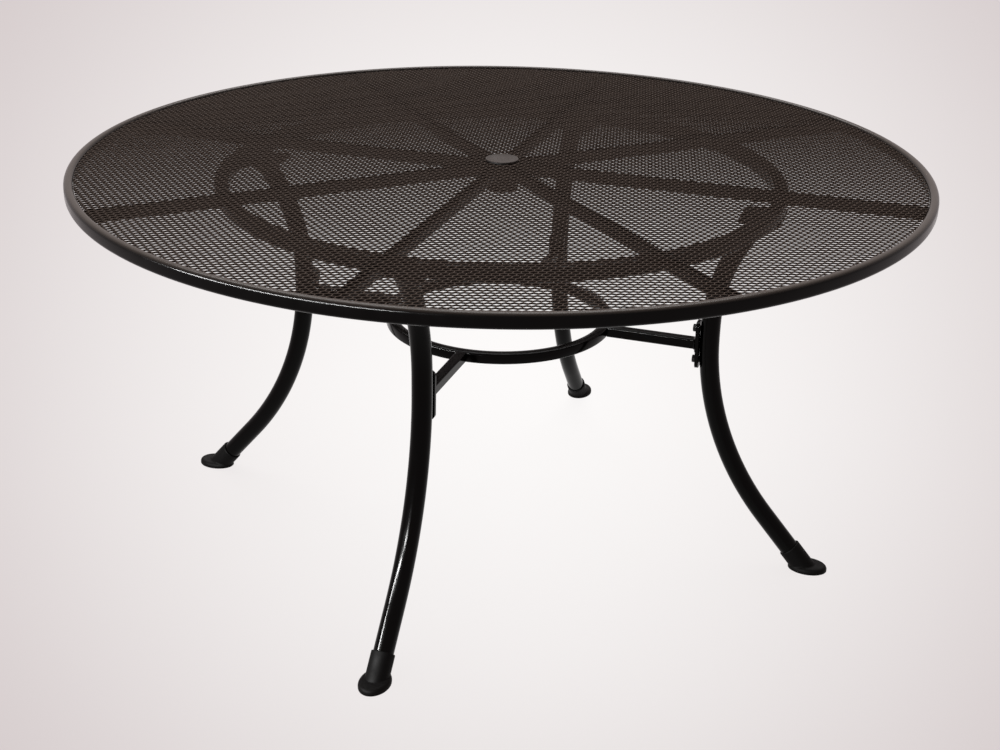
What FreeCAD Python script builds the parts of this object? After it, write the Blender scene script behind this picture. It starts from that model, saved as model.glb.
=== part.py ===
# Round outdoor dining table: expanded-metal top in a tube rim, four C-curved legs,
# a square-tube stretcher ring and a lift-out plug in the umbrella hole.
# Millimetres. +Z is up, the origin is on the floor at the table's centre,
# and the four legs stand on the -Y, +X, +Y and -X axes.

import FreeCAD
import Part
import math
import os

from FreeCAD import Vector

# ---- driving dimensions ----------------------------------------------------

# top
table_diameter = 1524.0
table_height = 724.0
rim_width = 16.0
rim_height = 25.0
rim_corner_radius = 6.5
rim_wall = 1.6
rim_lip = 4.0                   # the rim stands this far above the mesh
mesh_thickness = 2.5
mesh_edge_clearance = 0.2       # between the mesh's cut edge and the rim
mesh_grid_pitch = 124.0         # openings of the mesh, drawn as a coarse plain grid of slots
mesh_slot_length = 110.0
mesh_slot_width = 46.0
mesh_grid_turn = 46.7           # degrees between the slots and the X axis
mesh_edge_border = 8.0          # unbroken sheet along the rim
mesh_hole_border = 14.0         # unbroken sheet around the umbrella hole
drain_radius = 1.25             # weep holes under the rolled tubes

# frame under the mesh
spoke_count = 8
spoke_size = 19.0               # square tube
spoke_corner_radius = 3.0
spoke_wall = 1.6
ring_radius = 498.5             # centre line of the support ring
ring_size = 25.0                # square tube
ring_corner_radius = 4.0
ring_wall = 2.0

# umbrella sleeve and plug
sleeve_bore_radius = 25.0
sleeve_wall = 3.5
sleeve_length = 50.0
plug_seat_radius = 26.5         # widened top of the sleeve, and the hole in the mesh
plug_seat_depth = 18.0
plug_flange_radius = 30.0
plug_flange_thickness = 3.6
plug_edge_radius = 1.6
plug_stem_length = 16.0
plug_stem_wall = 2.0
plug_slot_width = 4.0
plug_slot_height = 10.0
plug_side_clearance = 0.3
plug_seat_clearance = 0.2

# legs
leg_radius = 17.5
leg_wall = 2.0
leg_top_inset = 20.5            # leg centre line inside the ring's centre line, at the top
leg_upper_bend = 318.0          # bend radius of the part that sweeps out under the top
leg_upper_angle = 41.1          # lean of the leg where it meets its top plate
leg_waist_length = 24.0         # upright stretch between the two bends
leg_lower_bend = 515.0
leg_lower_angle = 41.0          # lean of the straight foot of the leg

# plates on the leg tops
top_plate_width = 90.0          # across the leg
top_plate_inner_margin = 48.0   # from the ring's inner face towards the centre
top_plate_thickness = 5.0
top_plate_corner_radius = 8.0
top_bolt_spacing = 64.0

# boots
boot_wall = 2.8
boot_sleeve_length = 50.0       # along the leg, from the floor to the boot's mouth
boot_floor = 3.5                # rubber under the lowest point of the tube
boot_sole_length = 72.0
boot_sole_width = 53.0
boot_sole_thickness = 10.0
boot_sole_shift = 4.5           # sole centre beyond the point where the leg's line meets the floor
boot_top_rounding = 7.0
boot_bottom_rounding = 1.5
boot_fit_clearance = 0.05

# stretcher
stretcher_height = 420.5        # centre of the ring and arms above the floor
hoop_radius = 202.0             # centre line of the stretcher ring
hoop_size = 19.0                # square tube, also used for the arms
hoop_corner_radius = 3.0
hoop_wall = 1.6
arm_plate_width = 32.0
arm_plate_height = 88.0
arm_plate_thickness = 6.0
arm_plate_corner_radius = 10.0
arm_bolt_spacing = 60.0

# fasteners, M8
bolt_radius = 4.0
bolt_length = 20.0
bolt_head_flats = 13.0
bolt_head_height = 5.3
bolt_hole_clearance = 0.5
washer_radius = 8.0
washer_thickness = 1.6
insert_radius = 5.5
insert_length = 13.0
thread_clearance = 0.05

# ---- places that follow from them ------------------------------------------

table_radius = table_diameter / 2
rim_inner_radius = table_radius - rim_width
mesh_top = table_height - rim_lip
mesh_bottom = mesh_top - mesh_thickness
spoke_bottom = mesh_bottom - spoke_size
ring_bottom = spoke_bottom - ring_size
ring_inner_radius = ring_radius - ring_size / 2
ring_outer_radius = ring_radius + ring_size / 2
top_plate_bottom = ring_bottom - top_plate_thickness
sleeve_outer_radius = sleeve_bore_radius + sleeve_wall
hoop_outer_radius = hoop_radius + hoop_size / 2
upper_lean = math.radians(leg_upper_angle)
lower_lean = math.radians(leg_lower_angle)
leg_top_radius = ring_radius - leg_top_inset
waist_radius = leg_top_radius - leg_upper_bend * (1 - math.cos(upper_lean))
waist_top = top_plate_bottom - leg_upper_bend * math.sin(upper_lean)
waist_bottom = waist_top - leg_waist_length
lower_bend_end = waist_bottom - leg_lower_bend * math.sin(lower_lean)
lower_bend_end_radius = waist_radius + leg_lower_bend * (1 - math.cos(lower_lean))
leg_end_height = boot_floor + leg_radius * math.sin(lower_lean)

SIDES = {"front": -90.0, "right": 0.0, "back": 90.0, "left": 180.0}
SPOKES = {"front": -90.0, "front_right": -45.0, "right": 0.0, "back_right": 45.0,
          "back": 90.0, "back_left": 135.0, "left": 180.0, "front_left": -135.0}

centre = Vector(0, 0, 0)
up = Vector(0, 0, 1)


# ---- helpers ---------------------------------------------------------------

def turned(shape, degrees):
    copy = shape.copy()
    copy.rotate(centre, up, degrees)
    return copy


def moved(shape, x=0.0, y=0.0, z=0.0):
    copy = shape.copy()
    copy.translate(Vector(x, y, z))
    return copy


def upright_cylinder(radius, bottom, top, x=0.0, y=0.0):
    return Part.makeCylinder(radius, top - bottom, Vector(x, y, bottom), up)


def rounded_rectangle(width, height, corner_radius):
    # closed wire in the XZ plane, centred on the origin
    half_width = width / 2
    half_height = height / 2
    inset = corner_radius * (1 - math.sqrt(0.5))
    edges = []
    for sign_x, sign_z in ((1, 1), (-1, 1), (-1, -1), (1, -1)):
        on_side = Vector(sign_x * half_width, 0, sign_z * (half_height - corner_radius))
        on_corner = Vector(sign_x * (half_width - inset), 0, sign_z * (half_height - inset))
        on_end = Vector(sign_x * (half_width - corner_radius), 0, sign_z * half_height)
        edges.append(Part.Arc(on_side, on_corner, on_end).toShape())
    for sign in (1, -1):
        flat = Vector(half_width - corner_radius, 0, sign * half_height)
        edges.append(Part.makeLine(flat, Vector(-flat.x, 0, flat.z)))
        side = Vector(sign * half_width, 0, half_height - corner_radius)
        edges.append(Part.makeLine(side, Vector(side.x, 0, -side.z)))
    return Part.Wire(Part.__sortEdges__(edges))


def tube_section(width, height, corner_radius, wall):
    outer = rounded_rectangle(width, height, corner_radius)
    inner = rounded_rectangle(width - 2 * wall, height - 2 * wall, corner_radius - wall)
    return Part.makeFace([outer, inner], "Part::FaceMakerBullseye")


def rolled_ring(section, radius, height):
    # eight equal bends that run on into each other
    start = turned(moved(section, x=radius, z=height), -22.5)
    bend = start.revolve(centre, up, 45)
    return bend.fuse([turned(bend, 45 * step) for step in range(1, 8)])


def straight_tube(section, start, end, height):
    # along X, from start to end
    face = moved(turned(section, 90), x=start, z=height)
    return face.extrude(Vector(end - start, 0, 0))


def drained(ring, radius, bottom, wall):
    # four small holes in the underside let rain water out
    for angle in (45, 135, 225, 315):
        hole = upright_cylinder(drain_radius, bottom - wall, bottom + 2 * wall, x=radius)
        ring = ring.cut(turned(hole, angle))
    return ring


def rounded_plate(length, width, thickness, corner_radius):
    # centred on X and Y, standing on the plane Z = 0
    box = Part.makeBox(length, width, thickness, Vector(-length / 2, -width / 2, 0))
    corners = [edge for edge in box.Edges
               if abs(edge.Vertexes[0].X - edge.Vertexes[1].X) < 1e-6
               and abs(edge.Vertexes[0].Y - edge.Vertexes[1].Y) < 1e-6]
    return box.makeFillet(corner_radius, corners)


# ---- top -------------------------------------------------------------------

def make_rim():
    section = tube_section(rim_width, rim_height, rim_corner_radius, rim_wall)
    middle = table_radius - rim_width / 2
    bottom = table_height - rim_height
    ring = rolled_ring(section, middle, bottom + rim_height / 2)
    return drained(ring, middle, bottom, rim_wall)


def mesh_openings(reach):
    # slots whose centres lie within reach; the bars between them cross at the umbrella hole
    count = math.ceil(reach / mesh_grid_pitch)
    openings = []
    for column in range(-count, count):
        for row in range(-count, count):
            x = (column + 0.5) * mesh_grid_pitch
            y = (row + 0.5) * mesh_grid_pitch
            if math.hypot(x, y) < reach:
                corner = Vector(x - mesh_slot_length / 2, y - mesh_slot_width / 2, mesh_bottom - 1)
                openings.append(Part.makeBox(mesh_slot_length, mesh_slot_width, mesh_thickness + 2, corner))
    return turned(Part.makeCompound(openings), mesh_grid_turn)


def make_mesh():
    # the expanded-metal sheet, with its fine diamonds simplified to a coarse grid of slots
    radius = rim_inner_radius - mesh_edge_clearance
    disc = upright_cylinder(radius, mesh_bottom, mesh_top)
    field = upright_cylinder(radius - mesh_edge_border, mesh_bottom - 1, mesh_top + 1)
    field = field.cut(upright_cylinder(plug_seat_radius + mesh_hole_border, mesh_bottom - 2, mesh_top + 2))
    disc = disc.cut(mesh_openings(radius).common(field))
    return disc.cut(upright_cylinder(plug_seat_radius, mesh_bottom - 1, mesh_top + 1))


def make_spoke():
    # runs along +X from the umbrella sleeve to the rim, its inner end shaped to the sleeve
    section = tube_section(spoke_size, spoke_size, spoke_corner_radius, spoke_wall)
    end = math.sqrt(rim_inner_radius ** 2 - (spoke_size / 2) ** 2)
    tube = straight_tube(section, sleeve_bore_radius, end, spoke_bottom + spoke_size / 2)
    return tube.cut(upright_cylinder(sleeve_outer_radius, spoke_bottom - 1, mesh_bottom + 1))


def make_support_ring():
    section = tube_section(ring_size, ring_size, ring_corner_radius, ring_wall)
    ring = rolled_ring(section, ring_radius, ring_bottom + ring_size / 2)
    for angle in SIDES.values():
        for hole in top_bolt_row(insert_radius, ring_bottom - 1, ring_bottom + 2 * ring_wall):
            ring = ring.cut(turned(hole, angle))
    return drained(ring, ring_radius, ring_bottom, ring_wall)


def make_umbrella_sleeve():
    bottom = mesh_bottom - sleeve_length
    sleeve = upright_cylinder(sleeve_outer_radius, bottom, mesh_bottom)
    sleeve = sleeve.cut(upright_cylinder(sleeve_bore_radius, bottom - 1, mesh_bottom + 1))
    seat = upright_cylinder(plug_seat_radius, mesh_bottom - plug_seat_depth, mesh_bottom + 1)
    return sleeve.cut(seat)


def make_plug():
    # flat cap with a split hollow stem, which lifts straight out
    bottom = mesh_top + plug_seat_clearance
    flange = upright_cylinder(plug_flange_radius, bottom, bottom + plug_flange_thickness)
    top_edge = [edge for edge in flange.Edges
                if abs(edge.BoundBox.ZMin - flange.BoundBox.ZMax) < 1e-6]
    flange = flange.makeFillet(plug_edge_radius, top_edge)
    stem_radius = plug_seat_radius - plug_side_clearance
    stem_bottom = bottom - plug_stem_length
    stem = upright_cylinder(stem_radius, stem_bottom, bottom)
    stem = stem.cut(upright_cylinder(stem_radius - plug_stem_wall, stem_bottom - 1, bottom))
    for angle in (0, 90):
        slot = Part.makeBox(3 * stem_radius, plug_slot_width, plug_slot_height,
                            Vector(-1.5 * stem_radius, -plug_slot_width / 2, stem_bottom))
        stem = stem.cut(turned(slot, angle))
    return flange.fuse(stem).removeSplitter()


# ---- fasteners -------------------------------------------------------------

def make_bolt():
    # shank along +Z from the plane Z = 0, hexagon head below it
    corner = bolt_head_flats / math.sqrt(3)
    points = [Vector(corner * math.cos(math.radians(60 * step)),
                     corner * math.sin(math.radians(60 * step)), -bolt_head_height)
              for step in range(7)]
    head = Part.Face(Part.makePolygon(points)).extrude(Vector(0, 0, bolt_head_height))
    dome = Part.makeCone(bolt_head_flats / 2, bolt_head_flats / 2 + bolt_head_height * 1.8,
                         bolt_head_height, Vector(0, 0, -bolt_head_height), up)
    shank = upright_cylinder(bolt_radius, 0, bolt_length)
    return head.common(dome).fuse(shank).removeSplitter()


def make_washer():
    disc = upright_cylinder(washer_radius, 0, washer_thickness)
    return disc.cut(upright_cylinder(bolt_radius + thread_clearance, -1, washer_thickness + 1))


def make_insert():
    body = upright_cylinder(insert_radius, 0, insert_length)
    return body.cut(upright_cylinder(bolt_radius + thread_clearance, -1, insert_length + 1))


def top_bolt_row(radius, bottom, top):
    # upright cylinders on the two bolt centres of the right-hand top plate
    return [upright_cylinder(radius, bottom, top, x=ring_radius, y=sign * top_bolt_spacing / 2)
            for sign in (1, -1)]


def on_top_plates(piece, height):
    # a copy at each bolt under the support ring
    copies = []
    for angle in SIDES.values():
        for sign in (1, -1):
            place = moved(piece, x=ring_radius, y=sign * top_bolt_spacing / 2, z=height)
            copies.append(turned(place, angle))
    return Part.makeCompound(copies)


# ---- legs ------------------------------------------------------------------

def leg_at(height):
    # distance from the table's centre and lean (radians from upright) of the leg's centre line
    if height > waist_top:
        lean = math.asin((height - waist_top) / leg_upper_bend)
        return waist_radius + leg_upper_bend * (1 - math.cos(lean)), -lean
    if height >= waist_bottom:
        return waist_radius, 0.0
    if height >= lower_bend_end:
        lean = math.asin((waist_bottom - height) / leg_lower_bend)
        return waist_radius + leg_lower_bend * (1 - math.cos(lean)), lean
    drop = lower_bend_end - height
    return lower_bend_end_radius + drop * math.tan(lower_lean), lower_lean


def leg_point(height):
    return Vector(leg_at(height)[0], 0, height)


def leg_spine():
    # straight foot, lower bend, upright waist, upper bend, and a short run through the top plate
    foot = leg_point(leg_end_height)
    bend_start = leg_point(lower_bend_end)
    bend_middle = leg_point(waist_bottom - leg_lower_bend * math.sin(lower_lean / 2))
    waist_low = leg_point(waist_bottom)
    waist_high = leg_point(waist_top)
    upper_middle = leg_point(waist_top + leg_upper_bend * math.sin(upper_lean / 2))
    top = leg_point(top_plate_bottom)
    beyond = top + Vector(math.sin(upper_lean), 0, math.cos(upper_lean)) * 2 * leg_radius
    edges = [Part.makeLine(foot, bend_start),
             Part.Arc(bend_start, bend_middle, waist_low).toShape(),
             Part.makeLine(waist_low, waist_high),
             Part.Arc(waist_high, upper_middle, top).toShape(),
             Part.makeLine(top, beyond)]
    return Part.Wire(edges)


def along_foot(radius, start, end):
    # cylinder on the line of the straight foot; distances run up the leg from the floor
    up_leg = Vector(-math.sin(lower_lean), 0, math.cos(lower_lean))
    floor_point = leg_point(0)
    return Part.makeCylinder(radius, end - start, floor_point + up_leg * start, up_leg)


def at_arm_plate(piece, offset, height):
    # moves a piece made along +Z so that its Z runs outwards, square to the leg,
    # from offset inside the leg's centre line and height above the plate's middle
    radius, lean = leg_at(stretcher_height)
    place = piece.copy()
    place.rotate(centre, Vector(0, 1, 0), 90)
    place.translate(Vector(-offset, 0, height))
    place.rotate(centre, Vector(0, 1, 0), -math.degrees(lean))
    place.translate(Vector(radius, 0, stretcher_height))
    return place


def on_arm_plates(piece, offset):
    # a copy at each of the two bolts on every leg
    copies = []
    for angle in SIDES.values():
        for sign in (1, -1):
            copies.append(turned(at_arm_plate(piece, offset, sign * arm_bolt_spacing / 2), angle))
    return Part.makeCompound(copies)


def make_leg():
    spine = leg_spine()
    direction = Vector(-math.sin(lower_lean), 0, math.cos(lower_lean))
    foot = leg_point(leg_end_height)
    outer = Part.Wire(Part.makeCircle(leg_radius, foot, direction))
    inner = Part.Wire(Part.makeCircle(leg_radius - leg_wall, foot, direction))
    tube = Part.Wire(spine).makePipe(Part.makeFace([outer, inner], "Part::FaceMakerBullseye"))
    reach = 4 * leg_radius
    above = Part.makeBox(4 * reach, 2 * reach, 2 * reach,
                         Vector(leg_top_radius - 2 * reach, -reach, top_plate_bottom))
    tube = tube.cut(above)
    hole = upright_cylinder(insert_radius, 0, leg_radius)
    for sign in (1, -1):
        tube = tube.cut(at_arm_plate(hole, leg_radius, sign * arm_bolt_spacing / 2))
    return tube


def make_top_plate():
    inner = ring_inner_radius - top_plate_inner_margin
    length = ring_outer_radius - inner
    plate = rounded_plate(length, top_plate_width, top_plate_thickness, top_plate_corner_radius)
    plate = moved(plate, x=(inner + ring_outer_radius) / 2, z=top_plate_bottom)
    for hole in top_bolt_row(bolt_radius + bolt_hole_clearance, top_plate_bottom - 1, ring_bottom + 1):
        plate = plate.cut(hole)
    return plate


def make_boot():
    # oval sole with a slanted socket for the leg
    sole_centre = leg_point(0).x + boot_sole_shift
    oval = Part.Ellipse(Vector(sole_centre, 0, 0), boot_sole_length / 2, boot_sole_width / 2)
    sole = Part.Face(Part.Wire(oval.toShape())).extrude(Vector(0, 0, boot_sole_thickness))
    top_edge = [edge for edge in sole.Edges if edge.BoundBox.ZMin > boot_sole_thickness / 2]
    sole = sole.makeFillet(boot_top_rounding, top_edge)
    low_edge = [edge for edge in sole.Edges if edge.BoundBox.ZMax < 1e-3]
    sole = sole.makeFillet(boot_bottom_rounding, low_edge)
    below_floor = boot_sole_length
    socket = along_foot(leg_radius + boot_wall, -below_floor, boot_sleeve_length)
    floor_box = Part.makeBox(4 * below_floor, 4 * below_floor, 2 * below_floor,
                             Vector(sole_centre - 2 * below_floor, -2 * below_floor, -2 * below_floor))
    boot = sole.fuse(socket.cut(floor_box))
    leg_end = leg_end_height / math.cos(lower_lean)
    bore = along_foot(leg_radius + boot_fit_clearance, leg_end, boot_sleeve_length + 1)
    return boot.cut(bore).removeSplitter()


# ---- stretcher -------------------------------------------------------------

def make_hoop():
    section = tube_section(hoop_size, hoop_size, hoop_corner_radius, hoop_wall)
    ring = rolled_ring(section, hoop_radius, stretcher_height)
    return drained(ring, hoop_radius, stretcher_height - hoop_size / 2, hoop_wall)


def make_arm():
    # square tube from the ring's outer face to the arm plate, both ends shaped to fit
    section = tube_section(hoop_size, hoop_size, hoop_corner_radius, hoop_wall)
    tube = straight_tube(section, hoop_radius, leg_at(stretcher_height)[0], stretcher_height)
    tube = tube.cut(upright_cylinder(hoop_outer_radius, stretcher_height - hoop_size,
                                     stretcher_height + hoop_size))
    beyond_plate = moved(Part.makeBox(4 * hoop_size, 4 * hoop_size, 4 * hoop_size),
                         x=-2 * hoop_size, y=-2 * hoop_size)
    return tube.cut(at_arm_plate(beyond_plate, leg_radius + arm_plate_thickness, 0))


def make_arm_plate():
    plate = rounded_plate(arm_plate_height, arm_plate_width, arm_plate_thickness,
                          arm_plate_corner_radius)
    hole = upright_cylinder(bolt_radius + bolt_hole_clearance, -1, arm_plate_thickness + 1)
    for sign in (1, -1):
        plate = plate.cut(moved(hole, x=sign * arm_bolt_spacing / 2))
    return at_arm_plate(plate, leg_radius + arm_plate_thickness, 0)


# ---- all the pieces --------------------------------------------------------

def make_pieces():
    bolt_seat = leg_radius + arm_plate_thickness
    pieces = {
        "rim_frame": make_rim(),
        "mesh_panel": make_mesh(),
        "support_ring": make_support_ring(),
        "umbrella_sleeve": make_umbrella_sleeve(),
        "umbrella_plug": make_plug(),
        "stretcher_hoop": make_hoop(),
        "stretcher_bolts": on_arm_plates(make_bolt(), bolt_seat + washer_thickness),
        "stretcher_washers": on_arm_plates(make_washer(), bolt_seat + washer_thickness),
        "leg_inserts": on_arm_plates(make_insert(), leg_radius),
        "top_bolts": on_top_plates(make_bolt(), top_plate_bottom - washer_thickness),
        "top_washers": on_top_plates(make_washer(), top_plate_bottom - washer_thickness),
        "ring_inserts": on_top_plates(make_insert(), ring_bottom),
    }
    spoke = make_spoke()
    for name, angle in SPOKES.items():
        pieces["spoke_" + name] = turned(spoke, angle)
    repeated = {
        "leg": make_leg(),
        "leg_top_plate": make_top_plate(),
        "boot": make_boot(),
        "stretcher_arm": make_arm(),
        "arm_plate": make_arm_plate(),
    }
    for kind, shape in repeated.items():
        for side, angle in SIDES.items():
            pieces[kind + "_" + side] = turned(shape, angle)
    return pieces


os.makedirs("parts", exist_ok=True)
for node, shape in make_pieces().items():
    shape.exportStep("parts/" + node + ".step")
    print(node, "solids", len(shape.Solids), "valid", shape.isValid(), "volume", round(shape.Volume))
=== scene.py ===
import math

import bpy
from mathutils import Matrix, Vector


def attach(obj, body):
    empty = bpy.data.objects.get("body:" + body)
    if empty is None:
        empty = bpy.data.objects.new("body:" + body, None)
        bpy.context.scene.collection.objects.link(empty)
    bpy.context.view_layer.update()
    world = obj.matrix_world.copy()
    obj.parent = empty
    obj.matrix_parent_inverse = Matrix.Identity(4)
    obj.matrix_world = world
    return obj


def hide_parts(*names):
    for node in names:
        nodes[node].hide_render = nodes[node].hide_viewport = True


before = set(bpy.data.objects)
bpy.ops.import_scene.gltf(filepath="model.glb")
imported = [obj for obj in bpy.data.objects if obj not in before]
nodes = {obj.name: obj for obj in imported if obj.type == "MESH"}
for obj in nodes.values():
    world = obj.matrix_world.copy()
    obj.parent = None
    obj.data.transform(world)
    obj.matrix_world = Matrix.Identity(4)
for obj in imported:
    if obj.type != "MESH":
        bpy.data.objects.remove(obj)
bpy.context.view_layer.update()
sides = {"front": -90, "right": 0, "back": 90, "left": 180}  # degrees about Z, one leg on each side
hair = 0.0001  # how near a point has to be to a level to count as on it
print("frame loaded,", len(nodes), "nodes")


def deselectAll():
    if bpy.context.object and bpy.context.object.mode != "OBJECT":
        bpy.ops.object.mode_set(mode="OBJECT")
    bpy.ops.object.select_all(action="DESELECT")


def makeActive(piece):
    deselectAll()
    piece.select_set(True)
    bpy.context.view_layer.objects.active = piece


def startPiece(name):
    piece = bpy.context.object  # the primitive that was just added
    piece.name = name
    piece.data.name = name
    return piece


def pickAll():
    bpy.ops.object.mode_set(mode="EDIT")
    bpy.ops.mesh.select_all(action="SELECT")


def startPicking(kind):
    # nothing selected, and out of edit mode, where a test can select
    bpy.ops.object.mode_set(mode="EDIT")
    bpy.ops.mesh.select_mode(type=kind)
    bpy.ops.mesh.select_all(action="DESELECT")
    bpy.ops.object.mode_set(mode="OBJECT")


def pickVerts(piece, test):
    # leaves the piece in edit mode with the vertices that pass the test selected
    startPicking("VERT")
    for vert in piece.data.vertices:
        vert.select = bool(test(vert.co))
    bpy.ops.object.mode_set(mode="EDIT")


def pickFaces(piece, test):
    # the same for faces, tested on the face itself
    startPicking("FACE")
    for face in piece.data.polygons:
        face.select = bool(test(face))
    bpy.ops.object.mode_set(mode="EDIT")


def pickEdges(piece, test):
    # the same for edges, tested on their two end points
    startPicking("EDGE")
    points = [vert.co.copy() for vert in piece.data.vertices]
    for edge in piece.data.edges:
        edge.select = bool(test(points[edge.vertices[0]], points[edge.vertices[1]]))
    bpy.ops.object.mode_set(mode="EDIT")


def applyModifier(piece, kind, **settings):
    makeActive(piece)
    modifier = piece.modifiers.new(kind.lower(), kind)
    for setting, value in settings.items():
        setattr(modifier, setting, value)
    bpy.ops.object.modifier_apply(modifier=modifier.name)


def settle(piece):
    # the place goes into the mesh, and the object stays at the origin
    makeActive(piece)
    bpy.ops.object.transform_apply(location=True, rotation=True, scale=True)


def smooth(piece, degrees):
    # edges sharper than this stay sharp
    makeActive(piece)
    bpy.ops.object.shade_smooth_by_angle(angle=math.radians(degrees))


def turnedCopy(piece, name, degrees):
    makeActive(piece)
    bpy.ops.object.duplicate()
    copy = startPiece(name)
    copy.rotation_euler = (0, 0, math.radians(degrees))
    settle(copy)
    return copy


def onEverySide(piece, name):
    # the piece on the right, and its copies on the other three sides
    copies = {"right": piece}
    for side, angle in sides.items():
        if side != "right":
            copies[side] = turnedCopy(piece, name + side.capitalize(), angle)
    return copies


def finishPiece(piece, material, body, replaced=()):
    piece.data.materials.clear()
    piece.data.materials.append(material)
    if replaced:
        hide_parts(*replaced)
    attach(piece, body)


def feed(tree, node, inputs):
    # an input that is given a socket is joined to it, and any other value is set
    for label, value in inputs.items():
        if isinstance(value, bpy.types.NodeSocket):
            tree.links.new(value, node.inputs[label])
        else:
            node.inputs[label].default_value = value


def addNode(tree, kind, inputs=None, **settings):
    node = tree.nodes.new("ShaderNode" + kind)
    for setting, value in settings.items():
        setattr(node, setting, value)
    feed(tree, node, inputs or {})
    return node


def addMath(tree, operation, *values):
    return addNode(tree, "Math", dict(enumerate(values)), operation=operation).outputs["Value"]


def addMix(tree, factor, first, second):
    blend = {"Factor": factor, "A": first, "B": second}
    return addNode(tree, "Mix", blend, data_type="RGBA").outputs["Result"]


def addRange(tree, value, fromMin, fromMax, toMin=0, toMax=1):
    limits = {"From Min": fromMin, "From Max": fromMax, "To Min": toMin, "To Max": toMax}
    return addNode(tree, "MapRange", {"Value": value, **limits}).outputs["Result"]


def addNoise(tree, place, scale, detail):
    return addNode(tree, "TexNoise", {"Vector": place, "Scale": scale, "Detail": detail}).outputs["Fac"]


def newGroup(name, inputs):
    # a pattern for several finishes: it gives a colour, a roughness and a height for the bumps
    group = bpy.data.node_groups.new(name, "ShaderNodeTree")
    outputs = {"Color": "Color", "Roughness": "Float", "Height": "Float"}
    for direction, sockets in (("INPUT", inputs), ("OUTPUT", outputs)):
        for label, kind in sockets.items():
            group.interface.new_socket(name=label, in_out=direction, socket_type="NodeSocket" + kind)
    given = group.nodes.new("NodeGroupInput").outputs
    place = addNode(group, "TexCoord").outputs["Object"]
    return group, given, place


def endGroup(group, color, roughness, height):
    end = group.nodes.new("NodeGroupOutput")
    feed(group, end, {"Color": color, "Roughness": roughness, "Height": height})
    return group


coatPattern = {
    "pebbleDetail": 2, "waveDetail": 3,
    "waveLow": 0.3, "waveHigh": 0.7,  # the waves' lows are the smoothest and their highs the roughest
    "nibScale": 140, "nibEdge": 0.09, "nibTop": 0.02, "nibHeight": 0.35,
    # painted sheen: how far up a face must look before its colour is lightened
    "paintedSheenStart": 0.35, "paintedSheenFull": 0.95,  # how far up a face has to look, where 1 is straight up
}


def makeCoatGroup(size):
    # sprayed and baked powder: fine pebbling, slow waves in the thickness, a few dust nibs, and a painted
    # sheen that lightens faces looking up
    group, given, place = newGroup("powderCoat", {
        "Pebble Scale": "Float", "Wave Scale": "Float", "Dark": "Color", "Light": "Color",
        "Smoothest": "Float", "Roughest": "Float", "Painted Sheen": "Color", "Painted Sheen Amount": "Float",
    })
    pebble = addNoise(group, place, given["Pebble Scale"], size["pebbleDetail"])
    wave = addNoise(group, place, given["Wave Scale"], size["waveDetail"])
    spots = addNode(group, "TexVoronoi", {"Vector": place, "Scale": size["nibScale"]})
    nib = addRange(group, spots.outputs["Distance"], size["nibEdge"], size["nibTop"])
    tone = addMix(group, wave, given["Dark"], given["Light"])
    facing = addNode(group, "NewGeometry").outputs["Normal"]
    upward = addNode(group, "SeparateXYZ", {"Vector": facing}).outputs["Z"]
    paintedSheen = addRange(group, upward, size["paintedSheenStart"], size["paintedSheenFull"])  # painted sheen: faces that look up are given a lighter colour, standing in for the light that falls on them from above
    tone = addMix(group, addMath(group, "MULTIPLY", paintedSheen, given["Painted Sheen Amount"]), tone, given["Painted Sheen"])
    gloss = addRange(group, wave, size["waveLow"], size["waveHigh"], given["Smoothest"], given["Roughest"])
    height = addMath(group, "MULTIPLY_ADD", nib, size["nibHeight"], pebble)
    return endGroup(group, tone, gloss, height)


grainPattern = {
    "grainDetail": 3, "cloudScale": 45, "cloudDetail": 4, "cloudLow": 0.3, "cloudHigh": 0.7,
    "smoothest": 0.5, "roughest": 0.68,
}


def makeGrainGroup(size):
    # moulded surface: a fine spark-eroded grain, cloudy colour, and dust that gathers low down
    group, given, place = newGroup("mouldGrain", {
        "Grain Scale": "Float", "Base": "Color", "Dust": "Color",
        "Dust Height": "Float", "Dust Amount": "Float",
    })
    grain = addNoise(group, place, given["Grain Scale"], size["grainDetail"])
    cloud = addNoise(group, place, size["cloudScale"], size["cloudDetail"])
    above = addNode(group, "SeparateXYZ", {"Vector": place}).outputs["Z"]
    low = addRange(group, above, 0, given["Dust Height"], 1, 0)  # one at the floor, none at the dust height
    patchy = addMath(group, "MULTIPLY", low, cloud)
    amount = addMath(group, "MULTIPLY", patchy, given["Dust Amount"])
    tone = addMix(group, amount, given["Base"], given["Dust"])
    gloss = addRange(group, cloud, size["cloudLow"], size["cloudHigh"], size["smoothest"], size["roughest"])
    return endGroup(group, tone, gloss, grain)


def newMaterial(name, group, values, look):
    material = bpy.data.materials.new(name)
    material.use_nodes = True
    tree = material.node_tree
    pattern = addNode(tree, "Group", values, node_tree=group).outputs
    bump = addNode(tree, "Bump", {
        "Height": pattern["Height"], "Strength": look["bumpStrength"], "Distance": look["bumpDistance"]})
    feed(tree, tree.nodes["Principled BSDF"], {
        "Base Color": pattern["Color"], "Roughness": pattern["Roughness"], "Normal": bump.outputs["Normal"],
        "Specular IOR Level": look["specular"], "Metallic": look.get("metallic", 0),
    })
    return material


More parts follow.
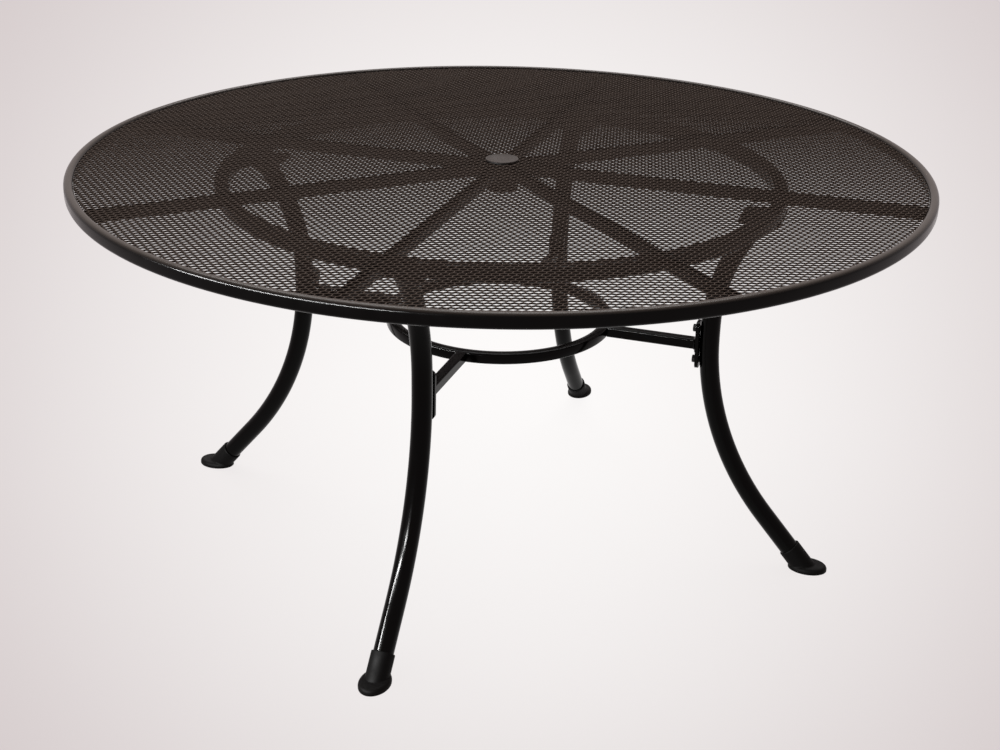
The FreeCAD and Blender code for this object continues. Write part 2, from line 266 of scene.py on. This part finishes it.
coatGroup = makeCoatGroup(coatPattern)
grainGroup = makeGrainGroup(grainPattern)
brownCoat = {  # the frame's paint, also under the painted sheen on the rim
    "Pebble Scale": 1100, "Wave Scale": 35,
    "Dark": (0.0022, 0.0015, 0.0011, 1), "Light": (0.0042, 0.003, 0.0024, 1),
}
framePaint = newMaterial(
    "framePaint", coatGroup,
    {**brownCoat, "Smoothest": 0.1, "Roughest": 0.16},
    {"specular": 0.07, "bumpStrength": 0.05, "bumpDistance": 0.0002})
rimPaint = newMaterial(
    "rimPaint", coatGroup,
    {**brownCoat, "Smoothest": 0.14, "Roughest": 0.22,
     # painted sheen: the rim's up-facing faces take this lighter colour in place of the light from above
     "Painted Sheen": (0.1, 0.082, 0.07, 1), "Painted Sheen Amount": 0.9},
    {"specular": 0.09, "bumpStrength": 0.1, "bumpDistance": 0.0002})
meshPaint = newMaterial(
    "meshPaint", coatGroup,
    {"Pebble Scale": 1300, "Wave Scale": 25, "Smoothest": 0.4, "Roughest": 0.5,
     "Dark": (0.09, 0.066, 0.054, 1), "Light": (0.125, 0.094, 0.077, 1)},
    {"specular": 0.03, "bumpStrength": 0.15, "bumpDistance": 0.0002})
bootRubber = newMaterial(
    "bootRubber", grainGroup,
    {"Grain Scale": 1500, "Base": (0.0035, 0.003, 0.0027, 1), "Dust": (0.035, 0.03, 0.026, 1),
     "Dust Height": 0.014, "Dust Amount": 0.2},
    {"specular": 0.06, "bumpStrength": 0.25, "bumpDistance": 0.0002})
plugPlastic = newMaterial(
    "plugPlastic", grainGroup,
    {"Grain Scale": 1700, "Base": (0.06, 0.048, 0.042, 1), "Dust": (0.1, 0.085, 0.076, 1),
     "Dust Height": 2.0, "Dust Amount": 0.25},
    {"specular": 0.1, "bumpStrength": 0.2, "bumpDistance": 0.0001})
fastenerSteel = newMaterial(
    "fastenerSteel", coatGroup,
    {"Pebble Scale": 2200, "Wave Scale": 180, "Smoothest": 0.3, "Roughest": 0.5,
     "Dark": (0.004, 0.0035, 0.003, 1), "Light": (0.012, 0.011, 0.01, 1)},
    {"specular": 0.25, "metallic": 0.3, "bumpStrength": 0.1, "bumpDistance": 0.0001})
print("finishes made")


# pieces that stay as the frame has them: a later row paints over an earlier one
carriedFinish = [
    (framePaint, ("spoke_", "leg_", "stretcher_arm_", "arm_plate_", "umbrella_sleeve")),
    (fastenerSteel, ("stretcher_bolts", "stretcher_washers", "leg_inserts",
                     "top_bolts", "top_washers", "ring_inserts")),
]
for material, starts in carriedFinish:
    for nodeName, node in nodes.items():
        if nodeName.startswith(starts):
            node.data.materials.clear()
            node.data.materials.append(material)
print("carried pieces painted")


ringSizes = {
    "rim": {
        "node": "rim_frame", "finish": rimPaint, "radius": 0.75379, "middle": 0.7115,
        "width": 0.016, "height": 0.025, "corner": 0.0068, "cornerSteps": 6, "steps": 240,
    },
    "supportRing": {
        "node": "support_ring", "finish": framePaint, "radius": 0.4985, "middle": 0.686,
        "width": 0.025, "height": 0.025, "corner": 0.004, "cornerSteps": 3, "steps": 144,
    },
    "stretcherHoop": {
        "node": "stretcher_hoop", "finish": framePaint, "radius": 0.202, "middle": 0.4205,
        "width": 0.019, "height": 0.019, "corner": 0.003, "cornerSteps": 3, "steps": 120,
    },
}
ringSeam = 0.00001  # the spin's last section is joined to its first within this distance
ringSharp = 40


def makeRing(name, size):
    # a rectangle with rounded corners, spun once round
    deselectAll()
    bpy.ops.mesh.primitive_plane_add(size=1, location=(size["radius"], 0, size["middle"]),
                                     rotation=(math.pi / 2, 0, 0))
    ring = startPiece(name)
    ring.scale = (size["width"], size["height"], 1)
    settle(ring)
    pickAll()
    bpy.ops.mesh.bevel(affect="VERTICES", offset=size["corner"], segments=size["cornerSteps"])
    pickAll()
    bpy.ops.mesh.delete(type="ONLY_FACE")
    pickAll()
    bpy.ops.mesh.spin(steps=size["steps"], angle=2 * math.pi, center=(0, 0, 0), axis=(0, 0, 1))
    pickAll()
    bpy.ops.mesh.remove_doubles(threshold=ringSeam)
    bpy.ops.mesh.normals_make_consistent(inside=False)
    bpy.ops.object.mode_set(mode="OBJECT")
    smooth(ring, ringSharp)
    return ring


for ringName, ringSize in ringSizes.items():
    ring = makeRing(ringName, ringSize)
    finishPiece(ring, ringSize["finish"], "table", [ringSize["node"]])
print("rings rolled")


meshSheet = {
    "longWay": 0.0216, "shortWay": 0.01098,  # pitch of the diamonds
    "bond": 0.0056, "strand": 0.00105, "thickness": 0.00245,
    "tilt": 0.00033,  # how far each strand's edges are pushed up and down
    # an edge stays level this near the opening's middle line, and this share of a strand from its outside
    "levelBand": 0.001, "outerShare": 0.4,
    "middle": 0.71898, "turn": math.radians(46.7), "radius": 0.7457, "hole": 0.0266,
    "strips": 8, "spare": 2,  # how many pieces it is cut in, and the extra diamonds in each row
    "cellSeam": 0.00005, "fieldSeam": 0.0001, "trimSteps": 360, "trimDepth": 0.05,
}


def makeMeshCell(size):
    # one diamond opening with half a strand all round, then a second one half a pitch on
    halfLong = size["longWay"] / 2 - size["bond"] / 2
    halfShort = size["shortWay"] / 2
    deselectAll()
    bpy.ops.mesh.primitive_circle_add(vertices=6, radius=1, fill_type="NGON", rotation=(0, 0, math.pi / 2))
    cell = startPiece("meshCell")
    settle(cell)
    pickAll()
    hexagonTop = math.sin(math.pi / 3)  # of a hexagon that lies on a side, with a radius of one
    bpy.ops.transform.resize(value=(halfLong, halfShort / hexagonTop, 1))
    pickVerts(cell, lambda co: abs(co.y) > halfShort / 2)
    bpy.ops.transform.resize(value=(size["bond"] / halfLong, 1, 1))
    pickAll()
    bpy.ops.mesh.inset(thickness=size["strand"] / 2)
    bpy.ops.mesh.delete(type="FACE")
    bpy.ops.object.mode_set(mode="OBJECT")
    inner = halfShort - size["strand"] * size["outerShare"]
    for sign in (1, -1):
        pickVerts(cell, lambda co: size["levelBand"] < sign * co.y < inner)
        bpy.ops.transform.translate(value=(0, 0, -sign * size["tilt"]))
    pickAll()
    bpy.ops.mesh.duplicate()
    bpy.ops.transform.translate(value=(size["longWay"] / 2, halfShort, 0))
    bpy.ops.object.mode_set(mode="OBJECT")
    return cell


def makeMeshSheet(size):
    # a field of diamonds, put down strip by strip and trimmed round with the umbrella hole
    across = math.ceil(2 * size["radius"] / size["longWay"]) + size["spare"]
    rows = math.ceil(2 * size["radius"] / size["shortWay"] / size["strips"])
    field = makeMeshCell(size)
    for count, step in ((across, (size["longWay"], 0, 0)), (rows, (0, size["shortWay"], 0))):
        applyModifier(field, "ARRAY", count=count, use_relative_offset=False, use_constant_offset=True,
                      constant_offset_displace=step, use_merge_vertices=True,
                      merge_threshold=size["cellSeam"])
    pickAll()
    bpy.ops.mesh.remove_doubles(threshold=size["fieldSeam"])
    bpy.ops.object.mode_set(mode="OBJECT")
    applyModifier(field, "SOLIDIFY", thickness=size["thickness"], offset=0)
    deselectAll()
    bpy.ops.mesh.primitive_cylinder_add(vertices=size["trimSteps"], radius=size["radius"],
                                        depth=size["trimDepth"])
    trimmer = startPiece("meshTrimmer")
    pickFaces(trimmer, lambda face: abs(face.normal.z) > 0.5)  # its two flat ends
    bpy.ops.mesh.inset(thickness=size["radius"] - size["hole"])
    bpy.ops.mesh.bridge_edge_loops()
    bpy.ops.object.mode_set(mode="OBJECT")
    left = -across * size["longWay"] / 2
    strips = []
    for number in range(size["strips"]):
        makeActive(field)
        bpy.ops.object.duplicate()
        strip = startPiece("meshStrip" + str(number + 1))
        strip.location = (left, (number - size["strips"] / 2) * rows * size["shortWay"], 0)
        settle(strip)
        applyModifier(strip, "BOOLEAN", operation="INTERSECT", object=trimmer, solver="EXACT")
        strip.location = (0, 0, size["middle"])
        strip.rotation_euler = (0, 0, size["turn"])
        settle(strip)
        strips.append(strip)
    bpy.data.objects.remove(trimmer)
    bpy.data.objects.remove(field)
    return strips


for strip in makeMeshSheet(meshSheet):
    finishPiece(strip, meshPaint, "table", ["mesh_panel"])
print("mesh sheet cut")


bootSize = {
    "lean": math.radians(41), "floorPoint": 0.6114,  # of the leg's line, and where that meets the floor
    "solePlace": 0.6159, "soleLength": 0.072, "soleWidth": 0.053, "soleHeight": 0.0105,
    "soleDome": 0.0068, "domeSteps": 6,
    "sleeveRadius": 0.0203, "mouth": 0.05, "mouthEdge": 0.001, "mouthSteps": 2, "sleeveCut": 0.001,
    "legRadius": 0.01755, "overshoot": 0.01,
    "boreFloor": 0.0035, "boreStart": 0.0115,  # the bore starts this high, and then this far up the leg
    "voxel": 0.0009, "melt": 0.5, "meltTimes": 6,
    "flatBelow": 0.0008, "clear": 0.00002,  # what is pressed flat under the sole, and its height
    "steps": 64, "sharp": 50,
}


def makeBoot(size):
    # oval domed sole, then the slanted sleeve, melted into one moulding and bored for the leg
    deselectAll()
    bpy.ops.mesh.primitive_cylinder_add(vertices=size["steps"], radius=0.5, depth=size["soleHeight"],
                                        location=(size["solePlace"], 0, size["soleHeight"] / 2))
    boot = startPiece("bootRight")
    boot.scale = (size["soleLength"], size["soleWidth"], 1)
    settle(boot)
    pickEdges(boot, lambda a, b: min(a.z, b.z) > size["soleHeight"] - hair)
    bpy.ops.mesh.bevel(offset=size["soleDome"], segments=size["domeSteps"])
    bpy.ops.object.mode_set(mode="OBJECT")
    upLeg = Vector((-math.sin(size["lean"]), 0, math.cos(size["lean"])))
    foot = Vector((size["floorPoint"], 0, 0))
    turn = (0, -size["lean"], 0)
    deselectAll()
    bpy.ops.mesh.primitive_cylinder_add(vertices=size["steps"], radius=size["sleeveRadius"],
                                        depth=size["mouth"] * 2, location=foot, rotation=turn)
    sleeve = startPiece("bootSleeve")
    settle(sleeve)
    pickFaces(sleeve, lambda face: face.normal.dot(upLeg) > 0.9)  # its upper end
    bpy.ops.mesh.bevel(offset=size["mouthEdge"], segments=size["mouthSteps"])
    pickAll()
    bpy.ops.mesh.bisect(plane_co=(0, 0, size["sleeveCut"]), plane_no=(0, 0, 1), clear_inner=True,
                        use_fill=True)
    bpy.ops.object.mode_set(mode="OBJECT")
    applyModifier(boot, "BOOLEAN", operation="UNION", object=sleeve, solver="EXACT")
    bpy.data.objects.remove(sleeve)
    applyModifier(boot, "REMESH", mode="VOXEL", voxel_size=size["voxel"])
    applyModifier(boot, "SMOOTH", factor=size["melt"], iterations=size["meltTimes"])
    deselectAll()
    start = foot + upLeg * (size["boreFloor"] / math.cos(size["lean"]) + size["boreStart"])
    end = foot + upLeg * (size["mouth"] + size["overshoot"])
    bpy.ops.mesh.primitive_cylinder_add(vertices=size["steps"], radius=size["legRadius"],
                                        depth=(end - start).length, location=(start + end) / 2,
                                        rotation=turn)
    drill = startPiece("bootDrill")
    settle(drill)
    applyModifier(boot, "BOOLEAN", operation="DIFFERENCE", object=drill, solver="EXACT")
    bpy.data.objects.remove(drill)
    # the smoothing rounded the underside, so it is pressed flat again, just clear of the floor
    pickVerts(boot, lambda co: co.z < size["flatBelow"])
    bpy.ops.transform.resize(value=(1, 1, 0), center_override=(0, 0, size["clear"]))
    bpy.ops.object.mode_set(mode="OBJECT")
    smooth(boot, size["sharp"])
    return boot


for side, boot in onEverySide(makeBoot(bootSize), "boot").items():
    finishPiece(boot, bootRubber, "table", ["boot_" + side])
print("boots moulded")


beadSize = {
    "tube": 0.019, "height": 0.4205, "leg": 0.0052,  # its leg is how far it reaches out and along
    "corner": 0.006, "cornerSteps": 4, "steps": 5, "sharp": 50,
}


def makeBead(size, plateFace):
    # fillet weld round the arm's end: broad on the plate, then up the tube in a hollow curve
    deselectAll()
    broad = size["tube"] + 2 * size["leg"]
    centre = (plateFace, 0, size["height"])
    bpy.ops.mesh.primitive_plane_add(size=broad, location=centre, rotation=(0, -math.pi / 2, 0))
    bead = startPiece("weldBeadRight")
    settle(bead)
    pickAll()
    bpy.ops.mesh.bevel(affect="VERTICES", offset=size["corner"], segments=size["cornerSteps"])
    pickAll()
    across, along = broad, 0.0
    for step in range(1, size["steps"] + 1):
        swing = math.pi / 2 * step / size["steps"]
        nextAlong = size["leg"] * (1 - math.cos(swing))
        nextAcross = size["tube"] + 2 * size["leg"] * (1 - math.sin(swing))
        bpy.ops.mesh.extrude_region_move(TRANSFORM_OT_translate={"value": (along - nextAlong, 0, 0)})
        ratio = nextAcross / across
        bpy.ops.transform.resize(value=(1, ratio, ratio), center_override=centre)
        across, along = nextAcross, nextAlong
    pickAll()
    bpy.ops.mesh.normals_make_consistent(inside=False)
    bpy.ops.object.mode_set(mode="OBJECT")
    smooth(bead, size["sharp"])
    return bead


beadRight = makeBead(beadSize, min(corner[0] for corner in nodes["arm_plate_right"].bound_box))
for bead in onEverySide(beadRight, "weldBead").values():
    finishPiece(bead, framePaint, "table")
print("weld beads laid")


plugSize = {
    "radius": 0.0299, "bottom": 0.7206, "thickness": 0.0032, "edge": 0.0012, "edgeSteps": 4,
    "border": 0.0022, "slope": 0.0012, "dish": 0.0006, "dishRing": 0.012,  # from the edge inwards
    "stemRadius": 0.0262, "stemWall": 0.002, "stemLength": 0.016,
    "stemEnd": 0.0004,  # the stem's hollow stops this short of the cap
    "steps": 96, "sharp": 30,
}


def makePlug(size):
    # cap turned from a disc: rounded edge, raised border, shallow dish, hollow stem below
    deselectAll()
    bpy.ops.mesh.primitive_cylinder_add(vertices=size["steps"], radius=size["radius"],
                                        depth=size["thickness"],
                                        location=(0, 0, size["bottom"] + size["thickness"] / 2))
    plug = startPiece("umbrellaPlug")
    settle(plug)
    top = size["bottom"] + size["thickness"]
    pickEdges(plug, lambda a, b: min(a.z, b.z) > top - hair)
    bpy.ops.mesh.bevel(offset=size["edge"], segments=size["edgeSteps"])
    level = 0.99  # a face whose normal is this upright is flat
    pickFaces(plug, lambda face: face.normal.z > level)
    bpy.ops.mesh.inset(thickness=size["border"])
    bpy.ops.mesh.inset(thickness=size["slope"])
    bpy.ops.transform.translate(value=(0, 0, -size["dish"]))
    bpy.ops.mesh.inset(thickness=size["dishRing"])
    pickFaces(plug, lambda face: face.normal.z < -level)
    bpy.ops.mesh.inset(thickness=size["radius"] - size["stemRadius"])
    down, up = -size["stemLength"], size["stemLength"] - size["stemEnd"]
    bpy.ops.mesh.extrude_region_move(TRANSFORM_OT_translate={"value": (0, 0, down)})
    bpy.ops.mesh.inset(thickness=size["stemWall"])
    bpy.ops.mesh.extrude_region_move(TRANSFORM_OT_translate={"value": (0, 0, up)})
    bpy.ops.object.mode_set(mode="OBJECT")
    smooth(plug, size["sharp"])
    return plug


umbrellaPlug = makePlug(plugSize)
finishPiece(umbrellaPlug, plugPlastic, "plug", ["umbrella_plug"])
print("plug made")


def seenDirectly(tree):
    # one where the camera sees the surface, also in a reflection or through something clear
    rays = addNode(tree, "LightPath").outputs
    mirrored = addMath(tree, "MAXIMUM", rays["Is Glossy Ray"], rays["Is Transmission Ray"])
    return addMath(tree, "MAXIMUM", rays["Is Camera Ray"], mirrored)


floorLook = {
    "across": 60.0, "bright": (0.991, 0.973, 0.965, 1), "dim": (0.646, 0.577, 0.58, 1),
    "roughness": 0.9, "specular": 0.1,
    # the floor's bright place: a pool of light painted into its colour, laid out as if thrown down from
    # here, and how fast it fades outwards
    "poolFoot": (0.8286, -2.5344), "poolHeight": 1.4754, "poolTurn": 18.48, "poolSlope": 23.82,
    "poolCentre": (0.0196, 0.0046), "poolReach": 2.91, "poolPower": 1.7, "poolDepth": 0.71,
    "poolSoft": 0.7, "nearest": 0.9,  # floor that is nearer than this is lit as if it were this far
    "ownLight": 0.94,  # share of the floor's white that no shadow dims
    "throwBack": 0.12,  # share of its colour with which the floor lights the table from below
}


def addPaintedPool(tree, size):
    # nothing in the middle of the pool of light, and one where it has faded out
    angle = math.radians(-size["poolTurn"])
    foot = Vector(size["poolFoot"])
    foot.rotate(Matrix.Rotation(angle, 2))
    place = addNode(tree, "TexCoord").outputs["Object"]
    turned = addNode(tree, "Mapping", {
        "Vector": place, "Rotation": (0, 0, angle), "Location": (-foot.x, -foot.y, 0)})
    axes = addNode(tree, "SeparateXYZ", {"Vector": turned.outputs["Vector"]}).outputs
    sideways, away = axes["X"], axes["Y"]  # from the foot of the pool
    slope, down = math.radians(size["poolSlope"]), size["poolHeight"]
    throw = addMath(tree, "MULTIPLY", away, math.cos(slope))
    throw = addMath(tree, "ADD", throw, down * math.sin(slope))
    throw = addMath(tree, "MAXIMUM", throw, size["nearest"])
    drop = addMath(tree, "MULTIPLY", away, math.sin(slope))
    drop = addMath(tree, "SUBTRACT", down * math.cos(slope), drop)
    squares = []
    for part, middle in zip((sideways, drop), size["poolCentre"]):
        offset = addMath(tree, "SUBTRACT", addMath(tree, "DIVIDE", part, throw), middle)
        squares.append(addMath(tree, "MULTIPLY", offset, offset))
    reach = addMath(tree, "SQRT", addMath(tree, "ADD", *squares))
    reach = addMath(tree, "MULTIPLY", reach, size["poolReach"])
    fade = addMath(tree, "MULTIPLY", addMath(tree, "POWER", reach, size["poolPower"]), size["poolDepth"])
    return addMath(tree, "SMOOTH_MIN", fade, 1, size["poolSoft"])


def makeFloor(size):
    # a pale floor with a painted pool of light, brightest under and behind the table, that fades towards
    # its sides; the camera sees this painted colour mostly as the floor's own glow
    deselectAll()
    bpy.ops.mesh.primitive_plane_add(size=size["across"], location=(0, 0, 0))
    floor = startPiece("studioFloor")
    material = bpy.data.materials.new("studioFloor")
    material.use_nodes = True
    tree = material.node_tree
    # the painted pool of light becomes the floor's colour
    tone = addMix(tree, addPaintedPool(tree, size), size["bright"], size["dim"])
    seen = seenDirectly(tree)
    share = addMath(tree, "MAXIMUM", seen, size["throwBack"])
    paint = addNode(tree, "VectorMath", {0: tone, "Scale": share}, operation="SCALE")
    shader = tree.nodes["Principled BSDF"]
    feed(tree, shader, {
        "Base Color": paint.outputs["Vector"], "Roughness": size["roughness"],
        "Specular IOR Level": size["specular"],
    })
    glow = addNode(tree, "Emission", {"Color": tone})
    blend = addNode(tree, "MixShader", {
        "Fac": addMath(tree, "MULTIPLY", seen, size["ownLight"]),
        1: shader.outputs["BSDF"], 2: glow.outputs["Emission"],
    })
    feed(tree, tree.nodes["Material Output"], {"Surface": blend.outputs["Shader"]})
    floor.data.materials.append(material)


overheadSun = {"turn": (-28, -14, 0), "height": 4, "strength": 2.7, "spread": 50}


def makeSky(size):
    # very soft light from above, even over the whole floor
    deselectAll()
    bpy.ops.object.light_add(type="SUN", location=(0, 0, size["height"]),
                             rotation=[math.radians(part) for part in size["turn"]])
    sun = bpy.context.object
    sun.name = "overheadLight"
    sun.data.energy = size["strength"]
    sun.data.angle = math.radians(size["spread"])


stripLight = {
    "place": (-0.9, -1.85, 1.05), "target": (-0.05, -0.5, 0.25), "length": 1.9, "width": 0.08, "power": 170,
}


def makeStripLight(size):
    # a narrow light, front left, that shows only as a line of gloss along the tubes
    deselectAll()
    bpy.ops.object.light_add(type="AREA", location=size["place"])
    lamp = bpy.context.object
    lamp.name = "frontLeftStrip"
    lamp.data.shape = "RECTANGLE"
    lamp.data.size, lamp.data.size_y = size["length"], size["width"]
    lamp.data.energy = size["power"]
    aim = Vector(size["target"]) - Vector(size["place"])
    lamp.rotation_euler = aim.to_track_quat("-Z", "Y").to_euler()
    lamp.visible_diffuse = False
    lamp.visible_camera = False


worldLook = {"color": floorLook["dim"], "unseen": 0.24, "seen": 1.0}  # strengths, as a light and as a view


def makeWorld(size):
    # as bright as the floor's far edge where it is seen, but a dimmer light on the table
    world = bpy.data.worlds.new("studioWorld")
    bpy.context.scene.world = world
    world.use_nodes = True
    tree = world.node_tree
    strength = addRange(tree, seenDirectly(tree), 0, 1, size["unseen"], size["seen"])
    feed(tree, tree.nodes["Background"], {"Color": size["color"], "Strength": strength})


photoCamera = {
    "place": (0.8286, -2.5344, 1.4754), "turn": (66.1758, -1.0429, 18.4804),
    "lens": 55.004, "sensor": 36, "farthest": 200,
}


def makeCamera(size):
    bpy.ops.object.camera_add(location=size["place"],
                              rotation=[math.radians(angle) for angle in size["turn"]])
    camera = bpy.context.object
    camera.name = "photoCamera"
    camera.data.lens = size["lens"]
    camera.data.sensor_width = size["sensor"]
    camera.data.clip_end = size["farthest"]
    bpy.context.scene.camera = camera


makeFloor(floorLook)
makeSky(overheadSun)
makeStripLight(stripLight)
makeWorld(worldLook)
makeCamera(photoCamera)
bpy.context.scene.view_settings.view_transform = "Standard"
print("studio set")
